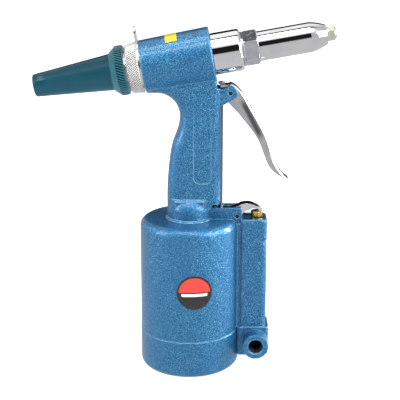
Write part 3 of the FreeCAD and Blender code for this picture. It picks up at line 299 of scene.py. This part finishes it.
def frame_head_chrome():
    """Polished barrel with a rougher, pitted hexagon, whose upper near flat has a painted dark reflection."""
    s = Shader("barrel_chrome")
    low, high = hexagon_span()
    on_hexagon = s.between(s.along_barrel(), low + 0.3 * MM, high - 0.3 * MM, 0.15 * MM)
    # Painted dark reflection: the flat that faces up and to the near side is coloured dark and made less metallic.
    painted_reflection_flat = s.math("MULTIPLY", on_hexagon, faces_up_and_near(s))
    pits = s.noise(650.0, 4.0, distortion=0.6)
    pitted_dark_reflection = s.ramp(
        pits,
        (0.35, (0.018, 0.021, 0.025)),
        (0.58, (0.055, 0.066, 0.080)),
        (0.78, (0.36, 0.38, 0.42)),
    )
    satin = s.ramp(s.noise(240.0, 3.0), (0.3, (0.50, 0.52, 0.56)), (0.7, (0.62, 0.64, 0.68)))
    smears = s.noise(70.0, 3.0)
    bright = s.ramp(smears, (0.3, (0.72, 0.73, 0.74)), (0.7, (0.83, 0.83, 0.84)))
    colour = s.mix(painted_reflection_flat, s.mix(on_hexagon, bright, satin), pitted_dark_reflection)
    polished = s.math("ADD", s.math("MULTIPLY", smears, 0.06), 0.03)
    roughness = s.math("ADD", s.math("MULTIPLY", on_hexagon, 0.34), polished)
    metallic = s.math("SUBTRACT", 1.0, s.math("MULTIPLY", painted_reflection_flat, 0.75))
    height = s.math("MULTIPLY", pits, on_hexagon)
    normal = s.bump(height, 0.30, 0.15 * MM, s.rounded_normal(0.3 * MM))
    s.set(Base_Color=colour, Metallic=metallic, Roughness=roughness, Normal=normal)
    return s.material


def faces_up_and_near(s):
    """1 where a surface faces 60 degrees up from the near side, as only one of the hexagon's flats does."""
    lean_angle = math.radians(60)
    facing = NEAR * math.cos(lean_angle) + UPWARD * math.sin(lean_angle)
    normal = s.add("ShaderNodeNewGeometry").outputs["Normal"]
    lean = s.vector_math("DOT_PRODUCT", normal, facing).outputs["Value"]
    return s.between(lean, 0.95, 1.5, 0.03)


def trigger_steel():
    """Plated pressed steel, with a painted shade streak along the inside of the upper front edge."""
    s = Shader("trigger_steel")
    low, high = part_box("trigger")
    size = high - low
    top = Vector((low.x + 0.25 * size.x, 0, high.z - 0.05 * size.z))
    bend = Vector((low.x + 0.63 * size.x, 0, low.z + 0.43 * size.z))
    down = (bend - top).normalized()
    outward = Vector((-down.z, 0, down.x))
    offset = s.vector_math("SUBTRACT", s.place, top).outputs[0]
    run = s.vector_math("DOT_PRODUCT", offset, down).outputs["Value"]
    depth = s.vector_math("DOT_PRODUCT", offset, outward).outputs["Value"]
    length = (bend - top).length
    # Painted shade: a dark streak along the inside of the upper front edge.
    inside = s.between(depth, -3.4 * MM, 0.8 * MM, 1.4 * MM)
    upper = s.between(run, 0.25 * length, 0.93 * length, 0.10 * length)
    painted_shade_streak = s.math("MULTIPLY", inside, upper)
    brushed = s.noise(1.0, 3.0, s.stretched((900, 900, 120)))
    smears = s.noise(70.0, 3.0)
    plain = s.ramp(smears, (0.3, (0.54, 0.54, 0.54)), (0.7, (0.66, 0.66, 0.67)))
    colour = s.mix(s.math("MULTIPLY", painted_shade_streak, 0.92), plain, (0.10, 0.10, 0.10))
    roughness = s.math("ADD", s.math("MULTIPLY", brushed, 0.14), 0.12)
    normal = s.bump(brushed, 0.05, 0.04 * MM, s.rounded_normal(0.25 * MM))
    s.set(Base_Color=colour, Metallic=1.0, Roughness=roughness, Normal=normal)
    s.set(Specular_Tint=rgba((0.30, 0.30, 0.31)))
    return s.material


def hexagon_span():
    """Where the hexagon starts and ends along the barrel line: only it stands far off the line."""
    points = barrel_points("frame_head")
    widest = max(r for s, r in points)
    spots = [s for s, r in points if r > 0.9 * widest]
    return min(spots), max(spots)


def metal(name, colour, roughness=0.32, grain=(400, 400, 400), dirt=0.25, bump=0.06):
    """Bare metal with fine grain, uneven sheen and a little dirt."""
    s = Shader(name)
    streaks = s.noise(1.0, 4.0, s.stretched(grain))
    grime = s.noise(160.0, 5.0)
    dark = tuple(0.45 * c for c in colour)
    light = tuple(min(1.0, 1.25 * c) for c in colour)
    tone = s.mix(s.ramp(streaks, (0.3, 0.0), (0.75, 0.35)), colour, light)
    tone = s.mix(s.ramp(grime, (0.55, 0.0), (0.85, dirt)), tone, dark)
    rough = s.math("ADD", s.math("MULTIPLY", grime, 0.18), roughness - 0.09)
    normal = s.bump(streaks, bump, 0.05 * MM, s.rounded_normal(0.2 * MM))
    s.set(Base_Color=tone, Metallic=1.0, Roughness=rough, Normal=normal)
    return s.material


def knurled_aluminium():
    """Bright cut aluminium with painted shade in the grooves between the knurl's diamonds."""
    s = Shader("knurled_aluminium")
    uncut = s.add("ShaderNodeAttribute", attribute_name="knurl").outputs["Fac"]
    speck = s.noise(900.0, 3.0)
    bright = s.ramp(speck, (0.3, (0.78, 0.77, 0.74)), (0.7, (0.97, 0.97, 0.96)))
    # Painted shade: where the knurl is cut deep the colour goes to near black.
    colour = s.mix(s.ramp(uncut, (0.15, 0.0), (0.85, 1.0)), (0.040, 0.034, 0.030), bright)
    s.set(Base_Color=colour, Metallic=0.75, Roughness=s.ramp(speck, (0.2, 0.25), (0.8, 0.42)))
    s.set(Normal=s.bump(speck, 0.15, 0.05 * MM))
    return s.material


def collector_plastic():
    """Moulded teal plastic with a soft sheen, flow marks and scuffs, and painted shade in the rib grooves."""
    s = Shader("collector_plastic")
    flow = s.noise(1.0, 3.0, s.stretched((14, 60, 60)))
    scuffs = s.noise(240.0, 5.0)
    colour = s.ramp(flow, (0.3, (0.001, 0.040, 0.066)), (0.7, (0.002, 0.060, 0.092)))
    colour = s.mix(s.ramp(scuffs, (0.62, 0.0), (0.85, 0.15)), colour, (0.02, 0.10, 0.14))
    low, high = rim_span()
    on_rim = s.between(s.along_barrel(), low - 5.0 * MM, high + 2.0 * MM, 0.5 * MM)
    colour = s.mix(s.math("MULTIPLY", on_rim, 0.6), colour, (0.030, 0.150, 0.190))
    # Painted shade: the rib grooves are coloured darker the deeper they are cut.
    depth = s.add("ShaderNodeAttribute", attribute_name="groove").outputs["Fac"]
    colour = s.mix(s.ramp(depth, (0.1, 0.0), (0.7, 0.90)), colour, (0.001, 0.014, 0.024))
    roughness = s.ramp(scuffs, (0.3, 0.20), (0.8, 0.27))
    normal = s.bump(s.noise(700.0, 2.0), 0.06, 0.05 * MM)
    s.set(Base_Color=colour, Roughness=roughness, Normal=normal, Specular_IOR_Level=0.38)
    return s.material


def rim_span():
    """Where the collector's widest part, its ribbed rim, starts and ends along the barrel line."""
    points = barrel_points("collector")
    widest = max(r for s, r in points)
    spots = [s for s, r in points if r > widest - 0.2 * MM]
    return min(spots), max(spots)


def rubber():
    """Matt black rubber with a little dust."""
    s = Shader("seal_rubber")
    dust = s.noise(300.0, 4.0)
    colour = s.ramp(dust, (0.4, 0.012), (0.8, 0.040))
    s.set(Base_Color=colour, Roughness=s.ramp(dust, (0.3, 0.55), (0.8, 0.8)))
    s.set(Normal=s.bump(dust, 0.2, 0.1 * MM))
    return s.material


def foil(name, paint):
    """Glossy printed foil. The paint function gives the colour from the shader."""
    s = Shader(name)
    wrinkles = s.noise(180.0, 2.0)
    s.set(Base_Color=paint(s), Roughness=s.ramp(wrinkles, (0.3, 0.22), (0.8, 0.34)))
    s.set(Normal=s.bump(wrinkles, 0.08, 0.1 * MM), Coat_Weight=0.5, Coat_Roughness=0.1)
    return s.material


def badge_print(s):
    """Plain badge: red above black inside a thin black rim, with a white bar across just below the red."""
    low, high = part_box("badge")
    centre = (low + high) / 2
    radius = (high.z - low.z) / 2
    offset = s.vector_math("SUBTRACT", s.place, centre).outputs[0]
    axes = s.add("ShaderNodeSeparateXYZ")
    s.link(offset, axes.inputs[0])
    across = axes.outputs["X"]
    up = axes.outputs["Z"]
    square = s.math("ADD", s.math("MULTIPLY", across, across), s.math("MULTIPLY", up, up))
    from_centre = s.math("SQRT", square)
    fine = 0.12 * MM
    red_field = s.between(up, 0.02 * radius, 2 * radius, fine)
    bar = s.between(up, -0.22 * radius, -0.06 * radius, fine)
    in_rim = s.between(from_centre, -radius, 0.88 * radius, fine)
    wear = s.noise(500.0, 4.0)
    red = s.mix(s.ramp(wear, (0.45, 0.0), (0.8, 0.3)), (0.78, 0.035, 0.020), (0.50, 0.03, 0.02))
    black = s.mix(s.ramp(wear, (0.5, 0.0), (0.8, 0.3)), (0.012, 0.011, 0.012), (0.05, 0.045, 0.045))
    colour = s.mix(s.math("MULTIPLY", red_field, in_rim), black, red)
    in_bar = s.math("MULTIPLY", bar, s.between(from_centre, -radius, 0.74 * radius, fine))
    return s.mix(in_bar, colour, (0.85, 0.84, 0.82))


def label_print(s):
    """Plain yellow label with slightly darker worn patches."""
    wear = s.noise(400.0, 4.0)
    return s.mix(s.ramp(wear, (0.45, 0.0), (0.8, 0.4)), (0.86, 0.66, 0.02), (0.60, 0.42, 0.02))


def pale_floor():
    """Plain white floor that looks light grey in mirror reflections."""
    s = Shader("pale_floor")
    grain = s.noise(30.0, 3.0)
    s.set(Base_Color=s.ramp(grain, (0.3, 0.90), (0.7, 0.92)), Roughness=0.9)
    lit = s.bsdf.outputs["BSDF"]
    grey = s.add("ShaderNodeEmission")
    grey.inputs["Color"].default_value = (0.60, 0.61, 0.62, 1.0)
    glow = s.add("ShaderNodeEmission")
    glow.inputs["Strength"].default_value = 0.72
    rays = s.add("ShaderNodeLightPath")
    brighter = s.add("ShaderNodeAddShader")
    s.link(lit, brighter.inputs[0])
    s.link(glow.outputs[0], brighter.inputs[1])
    choose = s.add("ShaderNodeMixShader")
    s.link(rays.outputs["Is Glossy Ray"], choose.inputs[0])
    s.link(brighter.outputs[0], choose.inputs[1])
    s.link(grey.outputs[0], choose.inputs[2])
    s.link(choose.outputs[0], s.output.inputs["Surface"])
    return s.material


# ---------------------------------------------------------------- mesh helpers
def lathe(name, rows, count, depth_at, layer):
    """Closed ring about the barrel line. Each row is (s, radius, depth): the profile, and its deepest cut.
    depth_at(s, angle) gives the share of that depth that is cut away, which is also stored in the layer."""
    vertices = []
    shares = []
    for s, radius, depth in rows:
        for k in range(count):
            angle = 2 * math.pi * k / count
            share = depth_at(s, angle) if depth else 0.0
            vertices.append(on_barrel(s, radius - share * depth, angle))
            shares.append(share)
    faces = []
    for i in range(len(rows)):
        j = (i + 1) % len(rows)
        for k in range(count):
            n = (k + 1) % count
            faces.append((i * count + k, i * count + n, j * count + n, j * count + k))
    mesh = bpy.data.meshes.new(name)
    mesh.from_pydata(vertices, [], faces)
    mesh.update()
    attribute = mesh.attributes.new(layer, "FLOAT", "POINT")
    attribute.data.foreach_set("value", shares)
    return new_piece(name, mesh)


def new_piece(name, mesh):
    """Put a mesh in the scene as an object."""
    piece = bpy.data.objects.new(name, mesh)
    bpy.context.scene.collection.objects.link(piece)
    return piece


def soften(piece, angle):
    """Smooth shading that keeps edges sharper than the angle."""
    mesh = piece.data
    mesh.polygons.foreach_set("use_smooth", [True] * len(mesh.polygons))
    mesh.set_sharp_from_angle(angle=math.radians(angle))
    mesh.update()


def spread(start, end, count):
    """Evenly spaced values, both ends included."""
    return [start + (end - start) * k / (count - 1) for k in range(count)]


def triangle_wave(turns):
    """0 at whole numbers, 1 half-way between them."""
    return 1 - abs(2 * (turns % 1.0) - 1)


# ---------------------------------------------------------------- pieces made here
def knurled_end_cap():
    """Rear cap with a diamond knurl cut round its band."""
    points = barrel_points("end_cap")
    widest = max(r for s, r in points)
    band = [(s, r) for s, r in points if r > 0.9 * widest]
    rear = min(s for s, r in band)
    front = max(s for s, r in band)
    rear_r = max(r for s, r in band if s < rear + 1.5 * MM)
    front_r = widest
    spigot_end = min(s for s, r in points)
    spigot_r = max(r for s, r in points if s < rear - 1 * MM)
    thread_end = max(s for s, r in points)
    thread_r = max(r for s, r in points if s > front + 1 * MM)
    bore_r = min(r for s, r in points)
    diamonds = 66
    diamond_length = 2.2 * MM
    steps_per_diamond = 8
    steps_along = 42
    depth = 0.55 * MM
    edge = 0.7 * MM
    lean = 2 * math.pi / diamonds / diamond_length

    def cut(s, angle):
        one = triangle_wave(diamonds * (angle + lean * (s - rear)) / (2 * math.pi))
        other = triangle_wave(diamonds * (angle - lean * (s - rear)) / (2 * math.pi))
        return 1 - min(1.0, 2.0 * min(one, other))

    rows = [(spigot_end, bore_r, 0), (spigot_end, spigot_r, 0)]
    rows += [(rear, spigot_r, 0), (rear, rear_r - edge, 0)]
    for s in spread(rear + edge, front - edge, steps_along):
        share = (s - rear) / (front - rear)
        rows.append((s, rear_r + share * (front_r - rear_r), depth))
    rows += [(front, front_r - edge, 0), (front, thread_r, 0)]
    rows += [(thread_end, thread_r, 0), (thread_end, bore_r, 0)]
    piece = lathe("end_cap_knurled", rows, diamonds * steps_per_diamond, cut, "knurl")
    # The layer holds the share that is cut away, and the shader wants the share that is left.
    for share in piece.data.attributes["knurl"].data:
        share.value = 1 - share.value
    soften(piece, 60)
    piece.data.materials.append(knurled_aluminium())
    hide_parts("end_cap")
    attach(piece, "body")


def ribbed_collector():
    """Stem collector with slanted grip ribs round its rim and a rolled lip at its open end."""
    points = barrel_points("collector")
    widest = max(r for s, r in points)
    rim_end, rim_start = rim_span()
    front = max(s for s, r in points)
    tail = min(s for s, r in points)
    mouth_r = min(r for s, r in points if s > front - 0.1 * MM)
    lip = 1.2 * MM
    tail_r = max(r for s, r in points if s < tail + lip)
    bevel = [(s, r) for s, r in points if s < rim_end - 1 * MM and mouth_r < r < widest - 3 * MM]
    shoulder, shoulder_r = max(bevel)
    cone_start, cone_r = max((s, r) for s, r in bevel if r < shoulder_r - 1 * MM)
    wall = 2.0 * MM
    rim_edge = 0.5 * MM
    rim_margin = 0.4 * MM
    bore_step = 2.3 * MM
    tail_band = 7.0 * MM
    rows_in_span = 12
    ribs = 56
    steps_per_rib = 10
    depth = 0.9 * MM
    slant = math.tan(math.radians(27)) / widest

    def groove(s, angle):
        wave = triangle_wave(ribs * (angle - slant * (s - rim_end)) / (2 * math.pi))
        return min(1.0, max(0.0, (wave - 0.45) / 0.30))

    rows = [(front, mouth_r, 0), (front, widest - 2 * rim_edge, 0), (front - rim_edge, widest - rim_edge, 0)]
    for s in spread(rim_start - rim_margin, rim_end + rim_margin, rows_in_span):
        rows.append((s, widest, depth))
    rows += [(rim_end, widest - rim_edge, 0), (rim_end - rim_margin, widest - 2 * rim_edge, 0)]
    rows += [(shoulder, shoulder_r, 0), (cone_start, cone_r, 0)]
    taper = (cone_r - tail_r) / (cone_start - tail)
    band_start = tail + tail_band
    step = 0.25 * MM
    step_run = 0.3 * MM
    for s in spread(cone_start, band_start + step_run, rows_in_span)[1:]:
        rows.append((s, tail_r + (s - tail) * taper - step / 2, 0))
    rows += [(band_start, tail_r + (band_start - tail) * taper, 0), (tail + lip, tail_r, 0)]
    lip_steps = 4
    for k in range(1, lip_steps + 1):
        turn = math.radians(90 * k / lip_steps)
        rows.append((tail + lip * (1 - math.sin(turn)), tail_r - lip * (1 - math.cos(turn)), 0))
    rows += [(tail, tail_r - wall, 0), (cone_start, cone_r - wall, 0)]
    rows += [(rim_end + lip, mouth_r - bore_step, 0), (rim_end + lip, mouth_r, 0)]
    piece = lathe("collector_ribbed", rows, ribs * steps_per_rib, groove, "groove")
    soften(piece, 35)
    piece.data.materials.append(collector_plastic())
    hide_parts("collector")
    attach(piece, "collector")


def inlet_thread(material):
    """Ring of rounded thread crests just inside the air inlet's mouth."""
    mount = next(m for m in frame["record"]["mounts"] if m["name"] == "air_inlet")
    centre = Vector(mount["pos_m"])
    outward = Vector(mount["axis"])
    radius = mount["dims"]["r_mm"] * MM
    half = mount["dims"]["length_mm"] * MM / 2
    pitch = 1.41 * MM
    turns = 7
    steps = 48
    crest = 0.38 * MM
    sink = 0.02 * MM
    from_mouth = 0.6 * MM
    run_in = 12
    section = 6
    side = Vector((1, 0, 0))
    up = outward.cross(side)
    start = centre + outward * (half - from_mouth)
    vertices = []
    total = turns * steps
    for k in range(total + 1):
        angle = 2 * math.pi * k / steps
        radial = side * math.cos(angle) + up * math.sin(angle)
        reach = crest * max(0.05, min(1.0, k / run_in, (total - k) / run_in))
        middle = start - outward * (pitch * k / steps) + radial * (radius - sink)
        for j in range(section):
            turn = 2 * math.pi * j / section
            inward = reach * max(0.0, math.cos(turn))
            sideways = 0.5 * reach * math.sin(turn)
            vertices.append(middle - radial * inward + outward * sideways)
    faces = []
    for k in range(total):
        for j in range(section):
            n = (j + 1) % section
            here = k * section
            ahead = here + section
            faces.append((here + j, here + n, ahead + n, ahead + j))
    faces.append(tuple(range(section)))
    faces.append(tuple(reversed(range(total * section, (total + 1) * section))))
    mesh = bpy.data.meshes.new("inlet_thread")
    mesh.from_pydata(vertices, [], faces)
    mesh.update()
    piece = new_piece("inlet_thread", mesh)
    soften(piece, 60)
    piece.data.materials.append(material)
    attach(piece, "body")


# ---------------------------------------------------------------- finishing the CAD nodes
def dress(finish):
    """Give every CAD node the finish made for it, or else the finish of its material slot in the record."""
    slots = {part["node"]: part["material_slot"] for part in frame["record"]["subparts"]}
    for node, piece in NODES.items():
        piece.data.materials.clear()
        piece.data.materials.append(finish.get(node) or finish[slots[node]])


def all_finishes():
    """Every material, under the name of the piece or of the material slot that it is for."""
    return {
        "blue_paint": hammertone_paint(),
        "chrome": chrome(),
        "frame_head": frame_head_chrome(),
        "hanger_steel": metal("hanger_steel", (0.80, 0.80, 0.79), 0.22),
        "steel": metal("steel", (0.42, 0.42, 0.43), 0.34),
        "trigger": trigger_steel(),
        # Painted shade: the thread and the filter inside the air inlet are coloured near black, for the shade deep
        # in the inlet.
        "inlet_thread": metal("cut_thread_painted_shade", (0.05, 0.05, 0.055), 0.45),
        "inlet_filter": metal("filter_mesh_painted_shade", (0.02, 0.018, 0.016), 0.6),
        "trigger_rod": metal("rod_steel", (0.24, 0.27, 0.31), 0.24),
        "trigger_pin": metal("pin_steel", (0.05, 0.05, 0.055), 0.45),
        "lever_pin": metal("lever_pin_steel", (0.05, 0.05, 0.055), 0.45),
        "spring_steel": metal("spring_steel", (0.30, 0.31, 0.33), 0.30),
        "knurled_aluminium": knurled_aluminium(),
        "piston_aluminium": metal("piston_aluminium", (0.68, 0.69, 0.71), 0.30, (60, 60, 2500)),
        "collector_plastic": collector_plastic(),
        "brass": metal("brass", (0.72, 0.47, 0.11), 0.24, (60, 60, 2500)),
        "bronze": metal("bronze", (0.50, 0.30, 0.14), 0.40),
        "nose_steel": metal("nose_steel", (0.78, 0.77, 0.66), 0.30),
        "seal_rubber": rubber(),
        "badge_foil": foil("badge_foil", badge_print),
        "label_foil": foil("label_foil", label_print),
    }


# ---------------------------------------------------------------- studio
# What mirror surfaces reflect: the angle in degrees, and the brightness there. The angle runs up and over
# from the camera's side (0) through overhead (90) to the far side (180). Below the horizon it is negative.
SKY_BANDS = (
    (-180, 0.55), (2, 0.55), (6, 0.012), (37, 0.012), (40, 1.10), (50, 1.10), (55, 3.20), (66, 3.20),
    (71, 1.10), (84, 1.10), (87, 0.02), (97, 0.02), (100, 1.10), (134, 1.10), (140, 0.01), (176, 0.01),
    (180, 0.55),
)
# Away from the middle, left and right, the bands fade into SKY_ENDS by no more than SKY_FADE_MOST. The fade
# starts and ends where the sideways part of the direction reaches the two values of SKY_FADE.
SKY_ENDS = (0.62, 0.63, 0.65)
SKY_FADE = (0.22, 0.40)
SKY_FADE_MOST = 0.88
# Rough surfaces are lit by SKY_DIFFUSE, and the camera itself sees BACKDROP_WHITE.
SKY_DIFFUSE = (0.46, 0.47, 0.48)
BACKDROP_WHITE = (1, 1, 1)

# Name, place and size in metres, and power in watts. Every light aims at the same point.
LIGHT_AIM = (0, 0, 0.15)
LIGHTS = (
    ("right_box", (1.1, -0.75, 0.75), (0.7, 1.0), 13),
    ("left_box", (-1.2, -0.45, 0.75), (0.6, 1.0), 10),
    ("top_box", (-0.1, -0.25, 1.5), (0.8, 0.3), 4),
    ("front_box", (-0.2, -0.95, 1.6), (1.0, 0.25), 3),
    ("rim_box", (1.35, 0.30, 0.35), (0.25, 1.0), 24),
)
FLOOR_HALF = 6.0

# Distances are in metres. The lens and the sensor are in millimetres.
CAMERA_PITCH = math.radians(16.4)
CAMERA_DISTANCE = 0.8736
CAMERA_AIM = Vector((0.0094, 0, 0.1504))
CAMERA_LENS = 90
CAMERA_SENSOR = 36


def studio_sky():
    """World light: bands of light and dark for mirror reflections, even grey for diffuse light, and plain
    white where the camera looks past the tool."""
    world = bpy.data.worlds.new("studio")
    bpy.context.scene.world = world
    world.use_nodes = True
    sky = Nodes(world.node_tree)
    axes = sky.add("ShaderNodeSeparateXYZ")
    sky.link(sky.add("ShaderNodeTexCoord").outputs["Generated"], axes.inputs[0])
    towards_camera = sky.math("MULTIPLY", axes.outputs["Y"], -1.0)
    over = sky.math("ARCTAN2", axes.outputs["Z"], towards_camera)
    turn = sky.math("ADD", sky.math("DIVIDE", over, 2 * math.pi), 0.5)
    bands = sky.ramp(turn, *[((degrees + 180) / 360, level) for degrees, level in SKY_BANDS])
    fade = sky.add("ShaderNodeMapRange", interpolation_type="SMOOTHSTEP")
    sky.link(sky.math("ABSOLUTE", axes.outputs["X"]), fade.inputs["Value"])
    fade.inputs["From Min"].default_value, fade.inputs["From Max"].default_value = SKY_FADE
    fade.inputs["To Max"].default_value = SKY_FADE_MOST
    reflected = sky.mix(fade.outputs[0], bands, SKY_ENDS)
    rays = sky.add("ShaderNodeLightPath")
    lighting = sky.mix(rays.outputs["Is Glossy Ray"], SKY_DIFFUSE, reflected)
    background = sky.add("ShaderNodeBackground")
    sky.link(sky.mix(rays.outputs["Is Camera Ray"], lighting, BACKDROP_WHITE), background.inputs["Color"])
    output = sky.add("ShaderNodeOutputWorld")
    sky.link(background.outputs[0], output.inputs["Surface"])


def soft_box(name, place, size, power):
    """Rectangular area light that points at the tool."""
    light = bpy.data.lights.new(name, "AREA")
    light.shape = "RECTANGLE"
    light.size, light.size_y = size
    light.energy = power
    lamp = bpy.data.objects.new(name, light)
    lamp.location = place
    lamp.rotation_euler = (Vector(LIGHT_AIM) - Vector(place)).to_track_quat("-Z", "Y").to_euler()
    bpy.context.scene.collection.objects.link(lamp)


def floor_sheet():
    """Large square floor at the height of the tool's lowest point."""
    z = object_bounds()[0][2]
    corners = [(x * FLOOR_HALF, y * FLOOR_HALF, z) for x, y in ((-1, -1), (1, -1), (1, 1), (-1, 1))]
    mesh = bpy.data.meshes.new("floor")
    mesh.from_pydata(corners, [], [(0, 1, 2, 3)])
    floor = new_piece("floor", mesh)
    floor.data.materials.append(pale_floor())
    floor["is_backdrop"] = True


def studio():
    floor_sheet()
    for light in LIGHTS:
        soft_box(*light)
    studio_sky()


def camera():
    """Long lens at the photograph's height and pitch."""
    lens = bpy.data.cameras.new("camera")
    lens.lens = CAMERA_LENS
    lens.sensor_width = CAMERA_SENSOR
    eye = bpy.data.objects.new("camera", lens)
    back = Vector((0, -math.cos(CAMERA_PITCH), math.sin(CAMERA_PITCH)))
    eye.location = CAMERA_AIM + back * CAMERA_DISTANCE
    eye.rotation_euler = (math.pi / 2 - CAMERA_PITCH, 0, 0)
    bpy.context.scene.collection.objects.link(eye)
    bpy.context.scene.camera = eye


# ---------------------------------------------------------------- the scene
finishes = all_finishes()
dress(finishes)
knurled_end_cap()
ribbed_collector()
inlet_thread(finishes["inlet_thread"])
studio()
camera()
bpy.context.scene.view_settings.view_transform = "Standard"
